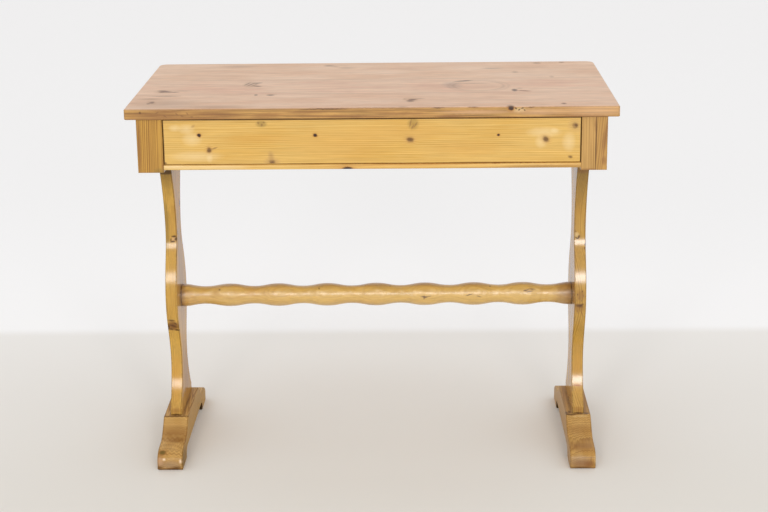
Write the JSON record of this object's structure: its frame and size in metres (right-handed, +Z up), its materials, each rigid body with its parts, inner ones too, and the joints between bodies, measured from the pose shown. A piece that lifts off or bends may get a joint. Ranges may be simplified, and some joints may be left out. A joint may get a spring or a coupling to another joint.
{
  "type": "stretcher table",
  "caption": "Small pine side table with a full-width drawer, lyre-shaped end boards on sledge feet and a wavy turned stretcher.",
  "frame": {"origin": "on the floor, below the middle of the top", "axes": "+X to the right along the top's length, -Y towards the drawer front, +Z up"},
  "size_m": [0.948, 0.503, 0.762],
  "materials": {
    "top_pine": "old pine, waxed and faded",
    "case_pine": "old pine, waxed",
    "rail_pine": "old pine, waxed",
    "drawer_front_pine": "pine, waxed to a soft shine",
    "base_pine": "pine, varnished",
    "bare_pine": "unfinished, darkened by age",
    "steel": "dulled"
  },
  "bodies": {
    "table": {"top_board_front": "top_pine", "top_board_middle": "top_pine", "top_board_back": "top_pine", "front_post_left": "case_pine", "front_post_right": "case_pine", "corner_lath_right": "case_pine", "side_apron_left": "case_pine", "side_apron_right": "case_pine", "back_apron": "case_pine", "drawer_rail": "rail_pine", "drawer_runner_left": "bare_pine", "drawer_runner_right": "bare_pine", "drawer_guide_left": "bare_pine", "drawer_guide_right": "bare_pine", "drawer_kicker_left": "bare_pine", "drawer_kicker_right": "bare_pine", "drawer_stops": "bare_pine", "end_board_left": "base_pine", "end_board_right": "base_pine", "foot_left": "base_pine", "foot_right": "base_pine", "foot_pegs": "base_pine", "stretcher": "base_pine", "stretcher_wedges": "base_pine", "corner_blocks": "bare_pine", "top_glue_blocks": "bare_pine", "post_dowels": "bare_pine", "kicker_screws": "steel", "end_board_screws": "steel"},
    "drawer": {"drawer_front": "drawer_front_pine", "drawer_side_left": "bare_pine", "drawer_side_right": "bare_pine", "drawer_back": "bare_pine", "drawer_bottom": "bare_pine", "drawer_bottom_nails": "steel"}
  },
  "joints": [
    {"name": "drawer_slide", "type": "slide", "parent": "table", "child": "drawer", "axis": [0, -1, 0], "range_m": [0, 0.3]}
  ]
}
